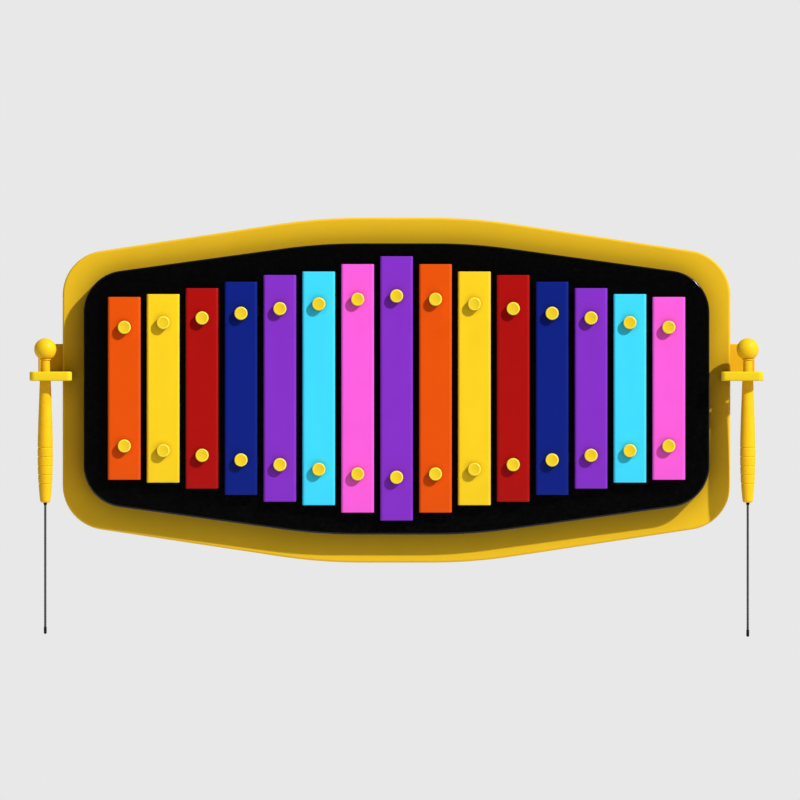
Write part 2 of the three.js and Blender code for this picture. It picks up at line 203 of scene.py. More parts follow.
def make_world():
    """A pale surround. Its light is dimmer straight in front, so dark gloss stays dark, and on the left."""
    world = bpy.data.worlds.new("surround")
    world.use_nodes = True
    nodes, links = world.node_tree.nodes, world.node_tree.links
    nodes.clear()
    seen = nodes.new("ShaderNodeBackground")
    seen.inputs["Color"].default_value = (BACKGROUND, BACKGROUND, BACKGROUND, 1)
    lit = nodes.new("ShaderNodeBackground")
    coordinates = nodes.new("ShaderNodeTexCoord")
    split = nodes.new("ShaderNodeSeparateXYZ")
    links.new(coordinates.outputs["Generated"], split.inputs["Vector"])
    behind = ranged(world.node_tree, split.outputs["Y"], BRIGHTER_BEHIND, "SMOOTHSTEP")
    right = ranged(world.node_tree, split.outputs["X"], BRIGHTER_RIGHT)
    strength = nodes.new("ShaderNodeMath")
    strength.operation = "MULTIPLY"
    links.new(behind, strength.inputs[0])
    links.new(right, strength.inputs[1])
    links.new(strength.outputs["Value"], lit.inputs["Strength"])
    path = nodes.new("ShaderNodeLightPath")
    mix = nodes.new("ShaderNodeMixShader")
    links.new(path.outputs["Is Camera Ray"], mix.inputs["Fac"])
    links.new(lit.outputs["Background"], mix.inputs[1])
    links.new(seen.outputs["Background"], mix.inputs[2])
    output = nodes.new("ShaderNodeOutputWorld")
    links.new(mix.outputs["Shader"], output.inputs["Surface"])
    bpy.context.scene.world = world


def make_view():
    scene = bpy.context.scene
    scene.view_settings.view_transform = "Standard"
    scene.view_settings.look = "None"
    scene.view_settings.exposure = 0
    scene.view_settings.gamma = 1


make_camera()
for sun_name, (sun_energy, sun_width, sun_direction) in SUNS.items():
    make_sun(sun_name, sun_energy, sun_width, sun_direction)
make_world()
make_view()

# ---------------------------------------------------------------- materials


class Recipe:
    """A node material: a principled shader and the textures that feed it, in real scale."""

    def __init__(self, name, roughness, metallic=0.0, specular=0.5):
        self.material = bpy.data.materials.new(name)
        self.material.use_nodes = True
        self.tree = self.material.node_tree
        self.shader = self.tree.nodes["Principled BSDF"]
        self.shader.inputs["Roughness"].default_value = roughness
        self.shader.inputs["Metallic"].default_value = metallic
        self.shader.inputs["Specular IOR Level"].default_value = specular
        self.place = self.tree.nodes.new("ShaderNodeTexCoord")

    def node(self, kind, sources=(), **settings):
        """A new node: settings are its properties, and sources its inputs, as values or other outputs."""
        made = self.tree.nodes.new(kind)
        for key, value in settings.items():
            setattr(made, key, value)
        for key, value in dict(sources).items():
            if isinstance(value, bpy.types.NodeSocket):
                self.tree.links.new(value, made.inputs[key])
            else:
                made.inputs[key].default_value = value
        return made

    def noise(self, size, detail=2.0, stretch=(1, 1, 1)):
        """Noise with features of that size in metres, longer along an axis where stretch is below 1."""
        scaled = self.node(
            "ShaderNodeMapping", {"Vector": self.place.outputs["Object"], "Scale": stretch})
        made = self.node("ShaderNodeTexNoise", {
            "Vector": scaled.outputs["Vector"], "Scale": 1 / size, "Detail": detail})
        return made.outputs["Fac"]

    def ramp(self, value, low, high, to_low=0.0, to_high=1.0):
        made = self.node("ShaderNodeMapRange", {
            "Value": value, "From Min": low, "From Max": high, "To Min": to_low, "To Max": to_high})
        return made.outputs["Result"]

    def blend(self, factor, first, second):
        """A colour between first and second, by a factor from 0 to 1."""
        made = self.node("ShaderNodeMix", data_type="RGBA")
        for index, value in ((0, factor), (6, first), (7, second)):
            if isinstance(value, bpy.types.NodeSocket):
                self.tree.links.new(value, made.inputs[index])
            else:
                made.inputs[index].default_value = value
        return made.outputs[2]

    def add(self, first, second, operation="ADD"):
        made = self.node("ShaderNodeMath", {0: first, 1: second}, operation=operation)
        return made.outputs["Value"]

    def colour(self, output):
        self.tree.links.new(output, self.shader.inputs["Base Color"])

    def roughness(self, output):
        self.tree.links.new(output, self.shader.inputs["Roughness"])

    def bump(self, layers):
        """Stacks bumps: each layer is a height output and its depth in metres."""
        normal = None
        for height, depth in layers:
            made = self.node("ShaderNodeBump", {"Height": height, "Distance": depth, "Strength": 1.0})
            if normal is not None:
                self.tree.links.new(normal, made.inputs["Normal"])
            normal = made.outputs["Normal"]
        self.tree.links.new(normal, self.shader.inputs["Normal"])

    def painted_shade(self, colour, reach, least):
        """Painted shade: darkens a colour close to walls and other parts, where ambient light is blocked,
        down to the least share of it.
        """
        closeness = self.node("ShaderNodeAmbientOcclusion", {"Distance": reach}, samples=16)
        shared = self.ramp(closeness.outputs["AO"], 0.5, 0.95, least, 1.0)
        made = self.node("ShaderNodeMix", data_type="RGBA", blend_type="MULTIPLY")
        made.inputs[0].default_value = 1.0
        self.tree.links.new(colour, made.inputs[6])
        self.tree.links.new(shared, made.inputs[7])
        return made.outputs[2]


def shade(colour, amount):
    return (*[min(1.0, channel * amount) for channel in colour], 1.0)


def board_material(name, colour, roughness, specular=0.5, least=0.64):
    """Playground board: orange-peel skin, faint clouding, hair scratches, and painted shade near walls."""
    made = Recipe(name, roughness, specular=specular)
    cloud = made.noise(0.090, detail=3.0)
    skin = made.blend(made.ramp(cloud, 0.35, 0.65), shade(colour, 0.98), shade(colour, 1.015))
    # painted shade: the board's colour darkens close to the housing and other walls, where less ambient
    # light reaches it
    made.colour(made.painted_shade(skin, 0.052, least))
    scratches = made.ramp(made.noise(0.004, detail=2.0, stretch=(0.06, 1, 1)), 0.66, 0.72)
    smudge = made.ramp(made.noise(0.030, detail=4.0), 0.3, 0.7, roughness - 0.05, roughness + 0.06)
    made.roughness(made.add(smudge, made.add(scratches, 0.08, "MULTIPLY")))
    made.bump([(made.noise(0.0016, detail=2.0), 0.00012), (scratches, -0.00002)])
    return made.material


def moulded_material(name, colour, roughness, specular=0.5, ripple=0.00008):
    """Moulded plastic: near-smooth skin with slow ripples and handling marks."""
    made = Recipe(name, roughness, specular=specular)
    cloud = made.noise(0.025, detail=2.0)
    made.colour(made.blend(made.ramp(cloud, 0.35, 0.65), shade(colour, 0.975), shade(colour, 1.02)))
    marks = made.ramp(made.noise(0.006, detail=5.0), 0.35, 0.7, roughness - 0.05, roughness + 0.07)
    made.roughness(marks)
    made.bump([(made.noise(0.0011, detail=2.0), 0.00003), (made.noise(0.012, detail=1.0), ripple)])
    return made.material


def bar_material(name, colour):
    """Powder-coated aluminium: fine orange peel, painted shade round the caps, and a duller patch where the
    bar is struck.
    """
    made = Recipe(name, 0.38, specular=0.14)
    cloud = made.noise(0.060, detail=2.0)
    coat = made.blend(made.ramp(cloud, 0.35, 0.65), shade(colour, 0.985), shade(colour, 1.012))
    # painted shade: the coat darkens round the caps and other close parts, where their shade falls
    made.colour(made.painted_shade(coat, 0.012, 0.72))
    split = made.node("ShaderNodeSeparateXYZ", {"Vector": made.place.outputs["Object"]})
    height = made.node("ShaderNodeMath", {0: split.outputs["Z"]}, operation="ABSOLUTE").outputs["Value"]
    struck = made.ramp(height, 0.04, 0.12, 1.0, 0.0)
    scuffs = made.ramp(made.noise(0.0022, detail=4.0, stretch=(1, 1, 0.35)), 0.56, 0.68)
    made.roughness(made.add(made.add(made.add(struck, scuffs, "MULTIPLY"), 0.10, "MULTIPLY"), 0.38))
    made.bump([(made.noise(0.0009, detail=2.0), 0.00005)])
    return made.material


def rubber_material(name, level):
    made = Recipe(name, 0.8, specular=0.06)
    grey = (level, level, level)
    cloud = made.ramp(made.noise(0.012, detail=4.0), 0.35, 0.7)
    made.colour(made.blend(cloud, shade(grey, 0.8), shade(grey, 1.5)))
    made.bump([(made.noise(0.0006, detail=3.0), 0.00008)])
    return made.material


def steel_material(name, level, roughness):
    made = Recipe(name, roughness, metallic=1.0)
    grey = (level, level, level * 1.02)
    grain = made.ramp(made.noise(0.003, detail=4.0), 0.35, 0.65)
    made.colour(made.blend(grain, shade(grey, 0.8), shade(grey, 1.15)))
    made.roughness(made.ramp(made.noise(0.001, detail=3.0), 0.3, 0.7, roughness - 0.08, roughness + 0.1))
    made.bump([(made.noise(0.0005, detail=2.0), 0.00002)])
    return made.material


def tether_material(name):
    """Wire rope: fine wires along each strand, grime between strands, and a darker lower end."""
    made = Recipe(name, 0.5, metallic=0.55, specular=0.4)
    level = made.node("ShaderNodeSeparateXYZ", {"Vector": made.place.outputs["Generated"]}).outputs["Z"]
    grime = made.ramp(made.noise(0.0015, detail=3.0), 0.3, 0.7)
    steel = made.blend(grime, (0.075, 0.075, 0.075, 1), (0.12, 0.12, 0.122, 1))
    made.colour(made.blend(made.ramp(level, 0.0, 0.16, 0.62, 0.0), steel, (0.03, 0.03, 0.03, 1)))
    made.bump([(made.noise(0.00035, detail=1.0, stretch=(1, 1, 0.15)), 0.00005)])
    return made.material


YELLOW = (0.850, 0.512, 0.0125)
BAR_COLOURS = {
    "bar_orange": (0.780, 0.0830, 0.0010),
    "bar_yellow": (0.915, 0.6100, 0.0130),
    "bar_red": (0.400, 0.0030, 0.0020),
    "bar_blue": (0.0025, 0.0130, 0.2100),
    "bar_purple": (0.2250, 0.0280, 0.5500),
    "bar_cyan": (0.0480, 0.6800, 0.9500),
    "bar_pink": (0.930, 0.1080, 0.6900),
}

MATERIALS = {
    "panel_yellow": board_material("panel_yellow", YELLOW, 0.42, specular=0.2),
    "housing_black": moulded_material("housing_black", (0.0012, 0.0012, 0.0012), 0.16, specular=0.34),
    "backing_black": board_material("backing_black", (0.012, 0.012, 0.012), 0.5, specular=0.3),
    "rail_rubber": rubber_material("rail_rubber", 0.0015),
    "bracket_yellow": board_material("bracket_yellow", (0.880, 0.610, 0.0100), 0.4, specular=0.2),
    # painted shade: the plate is one moulding with the shelf, but gets a darker, more orange yellow, for the
    # shade and yellow bounced light it gets behind the panel's edge; least=1.0 leaves out the darkening near
    # walls
    "plate_shaded_yellow": board_material(
        "plate_shaded_yellow", (0.760, 0.450, 0.0110), 0.42, specular=0.2, least=1.0),
    "cap_yellow": moulded_material(
        "cap_yellow", (0.860, 0.590, 0.0130), 0.40, specular=0.25, ripple=0.00002),
    # painted highlight: a paler, more lemon yellow on the cap's rounded rim stands in for a bright ring of
    # light there
    "cap_rim_highlight": moulded_material(
        "cap_rim_highlight", (0.930, 0.760, 0.0450), 0.30, ripple=0.00002),
    "mallet_head_yellow": moulded_material(
        "mallet_head_yellow", (0.945, 0.580, 0.0080), 0.45, specular=0.16),
    "mallet_handle_yellow": moulded_material(
        "mallet_handle_yellow", (0.945, 0.530, 0.0070), 0.42, specular=0.16),
    "tether_steel": tether_material("tether_steel"),
    "tether_end_black": rubber_material("tether_end_black", 0.01),
    "screw_steel": steel_material("screw_steel", 0.55, 0.32),
    "insert_brass": steel_material("insert_brass", 0.5, 0.35),
}
for bar_slot, bar_colour in BAR_COLOURS.items():
    MATERIALS[bar_slot] = bar_material(bar_slot, bar_colour)

SLOT_OF = {part["node"]: part["material_slot"] for part in frame["record"]["subparts"]}

# ---------------------------------------------------------------- mesh helpers


def rounded(corners, least=6):
    """Points (u, v, nu, nv) round an anticlockwise outline of corners (u, v, radius), with their normals."""
    points = []
    for i, (u, v, radius) in enumerate(corners):
        here = Vector((u, v))
        along = (here - Vector(corners[i - 1][:2])).normalized()
        away = (Vector(corners[(i + 1) % len(corners)][:2]) - here).normalized()
        turn = math.atan2(along.cross(away), along.dot(away))
        side = math.copysign(1, turn)
        reach = radius * math.tan(abs(turn) / 2)
        centre = here - along * reach + Vector((-along.y, along.x)) * side * radius
        start = math.atan2(-along.x * side, along.y * side)
        steps = max(least, math.ceil(abs(turn) / math.radians(7)))
        arc = []
        for k in range(steps + 1):
            out = Vector((math.cos(start + turn * k / steps), math.sin(start + turn * k / steps)))
            arc.append((centre + out * radius, out * side))
        arc.insert(0, (arc[0][0] - along * FLAT, arc[0][1]))
        arc.append((arc[-1][0] + away * FLAT, arc[-1][1]))
        points += [(*place, *normal) for place, normal in arc]
    return points


def circle(u, v, radius, steps=24):
    """A hole's outline, clockwise, with normals into the hole."""
    points = []
    for k in range(steps):
        a = -2 * math.pi * k / steps
        points.append((u + radius * math.cos(a), v + radius * math.sin(a), -math.cos(a), -math.sin(a)))
    return points


def disc(u, v, radius, steps):
    """A round outline, anticlockwise, with normals outwards."""
    spokes = [(math.cos(a), math.sin(a)) for a in (2 * math.pi * k / steps for k in range(steps))]
    return [(u + radius * nu, v + radius * nv, nu, nv) for nu, nv in spokes]


def quarter(radius, steps):
    """(sideways, along) pairs of a quarter round: (radius, 0) first and (0, radius) last."""
    angles = [math.pi / 2 * k / steps for k in range(steps + 1)]
    return [(radius * (1 - math.sin(a)), radius * (1 - math.cos(a))) for a in angles]


def eased(start, end, radius, steps):
    """(inset, depth) pairs from start to end, with both edges rounded."""
    near = [(radius + FLAT, 0.0)] + quarter(radius, steps)
    first = [(inset, start + depth) for inset, depth in near]
    last = [(inset, end - depth) for inset, depth in reversed(near)]
    return first + last


def sweep(bm, outline, profile, place, skip=()):
    """A ring of the outline at each (inset, depth) of the profile, joined by faces. Returns the rings."""
    rings = []
    for inset, depth in profile:
        rings.append([
            bm.verts.new(place(u - nu * inset, v - nv * inset, depth)) for u, v, nu, nv in outline])
    for level, (low, high) in enumerate(zip(rings, rings[1:])):
        for i in range(len(outline)):
            j = (i + 1) % len(outline)
            if (level, i) not in skip:
                bm.faces.new((low[i], low[j], high[j], high[i]))
    return rings


def fill(bm, rings):
    """A flat face inside the first ring and outside the others."""
    if len(rings) == 1:
        bm.faces.new(rings[0])
        return
    corners = [vertex for ring in rings for vertex in ring]
    for triangle in tessellate_polygon([[vertex.co for vertex in ring] for ring in rings]):
        bm.faces.new([corners[i] for i in triangle])


def slab(bm, loops, place):
    """A solid plate from (outline, profile) loops: the outer edge first, and then its holes."""
    swept = [sweep(bm, outline, profile, place) for outline, profile in loops]
    fill(bm, [rings[0] for rings in swept])
    fill(bm, [rings[-1] for rings in swept])


def turned(bm, profile, place, steps):
    """A turned solid: (radius, height) pairs from the axis to the axis."""
    rings = []
    for radius, height in profile:
        count = steps if radius > 0 else 1
        angles = [2 * math.pi * k / steps for k in range(count)]
        rings.append([
            bm.verts.new(place(radius * math.cos(a), radius * math.sin(a), height)) for a in angles])
    for low, high in zip(rings, rings[1:]):
        for i in range(steps):
            j = (i + 1) % steps
            corners = [low[i % len(low)], low[j % len(low)], high[j % len(high)], high[i % len(high)]]
            bm.faces.new(list(dict.fromkeys(corners)))


def shifted(place, u, v):
    """The same placing, moved by u and v."""
    return lambda a, b, c: place(u + a, v + b, c)


def piece(name, bm, slot, body=BODY, replaces=(), material=None, sharp=38):
    """Turns the bmesh into an object that rides on a body and stands for its CAD nodes."""
    bmesh.ops.recalc_face_normals(bm, faces=bm.faces)
    mesh = bpy.data.meshes.new(name)
    bm.to_mesh(mesh)
    bm.free()
    mesh.polygons.foreach_set("use_smooth", [True] * len(mesh.polygons))
    mesh.set_sharp_from_angle(angle=math.radians(sharp))
    made = bpy.data.objects.new(name, mesh)
    bpy.context.scene.collection.objects.link(made)
    mesh.materials.append(MATERIALS[material or slot])
    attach(made, body)
    if replaces:
        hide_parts(*replaces)
    return made


# ---------------------------------------------------------------- tethers and floor


def strand_ring(bm, place, lay_r, strand_r, angle, height):
    """One level of a strand, whose centre is at lay_r from the rope's axis."""
    centre = (lay_r * math.cos(angle), lay_r * math.sin(angle))
    spokes = [2 * math.pi * k / STRAND_SIDES + angle for k in range(STRAND_SIDES)]
    return [
        bm.verts.new(place(centre[0] + strand_r * math.cos(b), centre[1] + strand_r * math.sin(b), height))
        for b in spokes]


def make_rope(end, place, heights):
    """Six wire strands twisted round a core, at these heights from the top down."""
    strand_r = TETHER_DIAMETER / 6
    bm = bmesh.new()
    for strand in range(STRANDS + 1):
        lay_r = 0.0 if strand == STRANDS else 2 * strand_r
        rings = []
        for height in heights:
            angle = 2 * math.pi * (strand / STRANDS + (heights[0] - height) / STRAND_LAY)
            rings.append(strand_ring(bm, place, lay_r, strand_r, angle, height))
        for upper, lower in zip(rings, rings[1:]):
            for i in range(STRAND_SIDES):
                j = (i + 1) % STRAND_SIDES
                bm.faces.new((upper[i], upper[j], lower[j], lower[i]))
        bm.faces.new(rings[0])
        bm.faces.new(rings[-1])
    return piece(f"{end}_wire_rope", bm, "tether_steel", f"{end}_mallet", [f"{end}_tether"], sharp=60)


def make_sleeve(end, place, bottom):
    """The crimped sleeve that the rope's lower end sits in."""
    node = f"{end}_tether_end"
    low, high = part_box(node)
    sleeve_r = (high.x - low.x) / 2
    bore = TETHER_DIAMETER / 2 + SLEEVE_BORE_GAP
    round_tip = reversed(quarter(sleeve_r * SLEEVE_TIP, 6))
    tip = [(sleeve_r - inset, low.z + depth) for inset, depth in round_tip]
    bm = bmesh.new()
    turned(bm, [
        (0, bottom - SLEEVE_LIP), (bore, bottom - SLEEVE_LIP), (bore, high.z - SLEEVE_LIP / 2),
        (bore + SLEEVE_LIP / 3, high.z), (sleeve_r, high.z - SLEEVE_LIP), *tip, (0, low.z),
    ], place, 24)
    return piece(f"{end}_tether_sleeve", bm, "tether_end_black", f"{end}_mallet", [node])


def make_tether(end):
    """The wire rope down from the mallet's handle, with its end sleeve."""
    low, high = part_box(f"{end}_tether")
    place = shifted(upright, (low.x + high.x) / 2, -(low.y + high.y) / 2)
    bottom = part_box(f"{end}_tether_end")[0].z + ROPE_IN_SLEEVE
    heights = [high.z + (bottom - high.z) * k / STRAND_LEVELS for k in range(STRAND_LEVELS + 1)]
    rope = make_rope(end, place, heights)
    sleeve_piece = make_sleeve(end, place, bottom)
    route = [place(0, 0, height) for height in heights[::ROUTE_STEP]]


def make_floor():
    floor = Recipe("floor", 0.7, specular=0.2)
    pale = (FLOOR_LEVEL, FLOOR_LEVEL, FLOOR_LEVEL)
    cloud = floor.ramp(floor.noise(0.4, detail=3.0), 0.3, 0.7)
    floor.colour(floor.blend(cloud, shade(pale, 0.99), shade(pale, 1.01)))
    bm = bmesh.new()
    corners = [(-1, -1), (1, -1), (1, 1), (-1, 1)]
    bm.faces.new([bm.verts.new((FLOOR_HALF * u, FLOOR_HALF * v, FLOOR_Z)) for u, v in corners])
    mesh = bpy.data.meshes.new("floor")
    bm.to_mesh(mesh)
    bm.free()
    mesh.materials.append(floor.material)
    made = bpy.data.objects.new("floor", mesh)
    bpy.context.scene.collection.objects.link(made)


for tether_end in ENDS:
    make_tether(tether_end)
make_floor()

# ---------------------------------------------------------------- panel, housing and backing board


def crested(low, high, side_half, corner_r, inset=0.0):
    """The outline that the panel and the housing share, between a box's corners."""
    middle, half_height, half_width = (low.z + high.z) / 2, (high.z - low.z) / 2 - inset, high.x - inset
    quarter_outline = [(half_width, side_half - inset, corner_r - inset), (CREST_HALF, half_height, CREST_R)]
    upper = quarter_outline + [(-u, v, r) for u, v, r in reversed(quarter_outline)]
    lower = [(-u, -v, r) for u, v, r in upper]
    return rounded([(u, middle + v, r) for u, v, r in upper + lower], 10)


def countersunk(u, v, back, depth):
    """A screw hole sunk from the back of a plate, as a loop for slab."""
    head = SCREW_HEAD_R + SCREW_HEAD_GAP
    shank = SCREW_SHANK_R + SCREW_SHANK_GAP
    outline = circle(u, v, head, 20)
    return outline, [(0.0, back), (0.0, back + SCREW_HOLE_EDGE), (shank - head, back + SCREW_HEAD_DEPTH),
                     (shank - head, back + depth)]


def screw(bm, u, v, back, length):
    """A countersunk socket screw driven in from the back."""
    neck = SCREW_HEAD_R - SCREW_SHANK_R
    outer = sweep(bm, disc(u, v, SCREW_HEAD_R, 24), [
        (SCREW_EDGE, back), (0.0, back + SCREW_EDGE), (neck, back + SCREW_HEAD_DEPTH - SCREW_SUNK),
        (neck, back + length - SCREW_POINT_LENGTH), (neck + SCREW_POINT_INSET, back + length)], front)
    socket = sweep(bm, circle(u, v, SCREW_SOCKET_R, 6), [(0, back), (0, back + SCREW_SOCKET_DEPTH)], front)
    fill(bm, [outer[0], socket[0]])
    fill(bm, [socket[-1]])
    fill(bm, [outer[-1]])


def housing_screw_places():
    """Where screws go in a ring just inside the housing's edge, the same on all four quarters."""
    ring = crested(housing_low, housing_high, HOUSING_SIDE_HALF, HOUSING_CORNER_R, HOUSING_SCREW_INSET)
    middle = (housing_low.z + housing_high.z) / 2
    upper = sorted((point[0], point[1] - middle) for point in ring if point[1] > middle)
    found = [(side * (housing_high.x - HOUSING_SCREW_INSET), middle + v)
             for side in (-1, 1) for v in (-HOUSING_SCREW_SIDE, HOUSING_SCREW_SIDE)]
    for k in HOUSING_SCREW_STEPS:
        u = k * HOUSING_SCREW_PITCH
        before, after = next((a, b) for a, b in zip(upper, upper[1:]) if a[0] <= u < b[0])
        rise = before[1] + (after[1] - before[1]) * (u - before[0]) / (after[0] - before[0])
        found += [(u, middle + rise), (u, middle - rise)]
    return found


def make_panel():
    outline = crested(panel_low, panel_high, PANEL_SIDE_HALF, PANEL_CORNER_R)
    back = -panel_high.y
    loops = [(outline, eased(back, panel_front, PANEL_EDGE_R, 5))]
    screws = bmesh.new()
    for u, v in housing_screw_places():
        loops.append(countersunk(u, v, back, panel_front - back))
        screw(screws, u, v, back + SCREW_SUNK, LONG_SCREW)
    bm = bmesh.new()
    slab(bm, loops, front)
    piece("panel_board", bm, "panel_yellow", replaces=["base_panel"])
    piece("housing_screws", screws, "panel_yellow", material="screw_steel")


def make_housing():
    outline = crested(housing_low, housing_high, HOUSING_SIDE_HALF, HOUSING_CORNER_R)
    bm = bmesh.new()
    back = -housing_high.y
    slab(bm, [(outline, eased(back, -housing_low.y, HOUSING_EDGE_R, 6))], front)
    piece("housing_shell", bm, "housing_black", replaces=["bar_housing"])


def brass_insert(bm, u, v):
    """A threaded insert in a fixing hole, closed at its inner end."""
    floor = INSERT_DEPTH - INSERT_FLOOR
    threads = [
        (INSERT_BORE_R + INSERT_THREAD * (k % 2), INSERT_PITCH + INSERT_PITCH * k)
        for k in range(INSERT_RIDGES)]
    turned(bm, [
        (0, INSERT_DEPTH), (INSERT_R, INSERT_DEPTH), (INSERT_R, INSERT_LEAD), (INSERT_MOUTH_R, INSERT_SUNK),
        *threads, (INSERT_BORE_R, floor), (0, floor)], shifted(front, u, v), 24)


def make_backing():
    w, h, r = backing_high.x, backing_high.z, BACKING_CORNER_R
    outline = rounded([(w, -h, r), (w, h, r), (-w, h, r), (-w, -h, r)], 12)
    thick = -backing_low.y
    loops = [(outline, eased(0.0, thick, BACKING_EDGE_R, 3))]
    inserts, screws = bmesh.new(), bmesh.new()
    hole_edge = [(FIXING_CHAMFER, 0.0), (0.0, FIXING_CHAMFER), (0.0, thick)]
    for u in (-FIXING_X, FIXING_X):
        for v in (-FIXING_Z, FIXING_Z):
            loops.append((circle(u, v, FIXING_R), hole_edge))
            brass_insert(inserts, u, v)
    for u in BACKING_SCREW_X:
        for v in (-BACKING_SCREW_Z, BACKING_SCREW_Z):
            loops.append(countersunk(u, v, 0.0, thick))
            screw(screws, u, v, SCREW_SUNK, SHORT_SCREW)
    bm = bmesh.new()
    slab(bm, loops, front)
    piece("backing_sheet", bm, "backing_black", replaces=["backing_board"])
    piece("fixing_inserts", inserts, "backing_black", material="insert_brass")
    piece("backing_screws", screws, "backing_black", material="screw_steel")


make_panel()
make_housing()
make_backing()

# ---------------------------------------------------------------- rails, bars and capped bolts


def make_rail(side, name):
    """A rubber strip under the bars: side is 1 for the upper rail and -1 for its mirror image below."""
    low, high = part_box(name)
    slant = math.sqrt(1 + RAIL_SLOPE ** 2)
    half = RAIL_HALF_BREADTH * slant
    end = high.x
    peak = (high.z if side > 0 else -low.z) + (RAIL_KNEE_R + RAIL_HALF_BREADTH) * (slant - 1) - half
    level = peak - RAIL_SLOPE * end
    corners = [
        (end, level - half, RAIL_END_R), (end, level + half, RAIL_END_R),
        (0, peak + half, RAIL_KNEE_R + RAIL_HALF_BREADTH),
        (-end, level + half, RAIL_END_R), (-end, level - half, RAIL_END_R),
        (0, peak - half, RAIL_KNEE_R - RAIL_HALF_BREADTH),
    ]
    bm = bmesh.new()
    outline = rounded([(side * u, side * v, r) for u, v, r in corners], 8)
    slab(bm, [(outline, eased(-high.y, -low.y, RAIL_EDGE_R, 3))], front)
    piece(f"{name}_strip", bm, "rail_rubber", replaces=[name])


def bolt_place(row, number):
    low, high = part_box(f"{row}_bolt_{number}")
    return (low.x + high.x) / 2, (low.z + high.z) / 2


def make_bar(number):
    """An extruded bar: broad rounding down its long front edges, and a small one at the sawn ends."""
    node = f"bar_{number}"
    low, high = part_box(node)
    back, face = -high.y, -low.y
    section = rounded([
        (high.x, back, BAR_BACK_R), (high.x, face, BAR_FRONT_R),
        (low.x, face, BAR_FRONT_R), (low.x, back, BAR_BACK_R)], 6)
    per_corner = len(section) // 4
    face_strip, back_strip = 2 * per_corner - 1, 4 * per_corner - 1
    lengthwise = eased(low.z, high.z, BAR_END_R, 4)
    middle = len(lengthwise) // 2 - 1
    bm = bmesh.new()
    rings = sweep(bm, section, lengthwise, upright, {(middle, face_strip), (middle, back_strip)})
    fill(bm, [rings[0]])
    fill(bm, [rings[-1]])
    holes = [circle(*bolt_place(row, number), BAR_HOLE_R) for row in ("upper", "lower")]
    bores = [sweep(bm, hole, [(0, back), (0, face)], front) for hole in holes]
    for strip, end in ((face_strip, -1), (back_strip, 0)):
        after = (strip + 1) % len(section)
        near, far = rings[middle], rings[middle + 1]
        edge = [near[strip], near[after], far[after], far[strip]]
        fill(bm, [edge] + [bore[end] for bore in bores])
    piece(f"{node}_extrusion", bm, SLOT_OF[node], replaces=[node])


def washer(bm, x, z, under, over):
    """A flat rubber washer between a bar and its cap."""
    ring = sweep(bm, disc(x, z, WASHER_R, 28), eased(under, over, WASHER_EDGE_R, 2), front)
    hole = sweep(bm, circle(x, z, SHANK_R + WASHER_BORE_GAP, 28), [(0, under), (0, over)], front)
    fill(bm, [ring[0], hole[0]])
    fill(bm, [ring[-1], hole[-1]])


def make_bolt(row, number, washers):
    """A bolt with its moulded cap, with a painted highlight: the cap's rim is a paler yellow, for a bright
    ring of light round it.
    """
    node = f"{row}_bolt_{number}"
    low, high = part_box(node)
    x, z = bolt_place(row, number)
    radius, tip, top = (high.x - low.x) / 2, -high.y, -low.y
    bar_face = -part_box(f"bar_{number}")[0].y
    under = bar_face + WASHER_BELOW
    seat = under + WASHER_THICK
    rim = [(radius - inset, top - depth) for inset, depth in reversed(quarter(CAP_EDGE, 5))]
    skirt = [(radius - CAP_SKIRT_EDGE, seat), (radius, seat + CAP_SKIRT_EDGE)]
    bm = bmesh.new()
    turned(bm, [
        (0, tip), (SHANK_R - SHANK_TIP_EDGE, tip), (SHANK_R, tip + SHANK_TIP_EDGE), (SHANK_R, seat),
        *skirt, *rim, (radius - CAP_EDGE - CAP_RIM, top), (radius - CAP_EDGE - 2 * CAP_RIM, top - CAP_DISH),
        (0, top - CAP_DISH),
    ], shifted(front, x, z), 36)
    made = piece(f"{row}_cap_{number}", bm, "cap_yellow", replaces=[node])
    # painted highlight: the faces of the cap's rounded rim get the paler material
    made.data.materials.append(MATERIALS["cap_rim_highlight"])
    for face in made.data.polygons:
        reach = math.hypot(face.center.x - x, face.center.z - z)
        if reach > radius - CAP_EDGE - 1.5 * CAP_RIM and -face.center.y > top - CAP_EDGE:
            face.material_index = 1
    washer(washers, x, z, under, seat - WASHER_ABOVE)


make_rail(1, "upper_rail")
make_rail(-1, "lower_rail")
cap_washers = bmesh.new()
for bar_number in (f"{i + 1:02d}" for i in range(BAR_COUNT)):
    make_bar(bar_number)
    make_bolt("upper", bar_number, cap_washers)
    make_bolt("lower", bar_number, cap_washers)
piece("cap_washers", cap_washers, "rail_rubber")

# ---------------------------------------------------------------- brackets and mallets


def sided(corners, side):
    """An outline drawn for the right end, mirrored if the side is -1, the left."""
    return corners if side > 0 else [(-u, v, r) for u, v, r in reversed(corners)]


def make_shelf(node, side, outer):
    """The bracket's shelf: its inner end passes round the panel's edge, and the mallet hangs in its hole."""
    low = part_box(node)[0]
    shelf_front, bottom, top = -low.y, low.z, low.z + SHELF_THICK
    inner, notch_x, notch_out = mallet_x - SHELF_REACH, panel_high.x + NOTCH_GAP, panel_front + NOTCH_GAP
    plan = sided([
        (outer, WELD, SHELF_BACK_R), (outer, shelf_front, SHELF_CORNER_R),
        (inner, shelf_front, SHELF_CORNER_R), (inner, notch_out, SHELF_BACK_R),
        (notch_x, notch_out, NOTCH_R), (notch_x, WELD, SHELF_BACK_R)], side)
    hole = circle(side * mallet_x, mallet_out, MALLET_HOLE_R, 40)
    hole_edge = [
        (HOLE_CHAMFER, bottom), (0.0, bottom + HOLE_CHAMFER), (0.0, top - HOLE_CHAMFER), (HOLE_CHAMFER, top)]
    bm = bmesh.new()
    slab(bm, [(rounded(plan, 8), eased(bottom, top, SHELF_EDGE_R, 5)), (hole, hole_edge)], upright)
    piece(f"{node}_shelf", bm, "panel_yellow", replaces=[node], material="bracket_yellow")


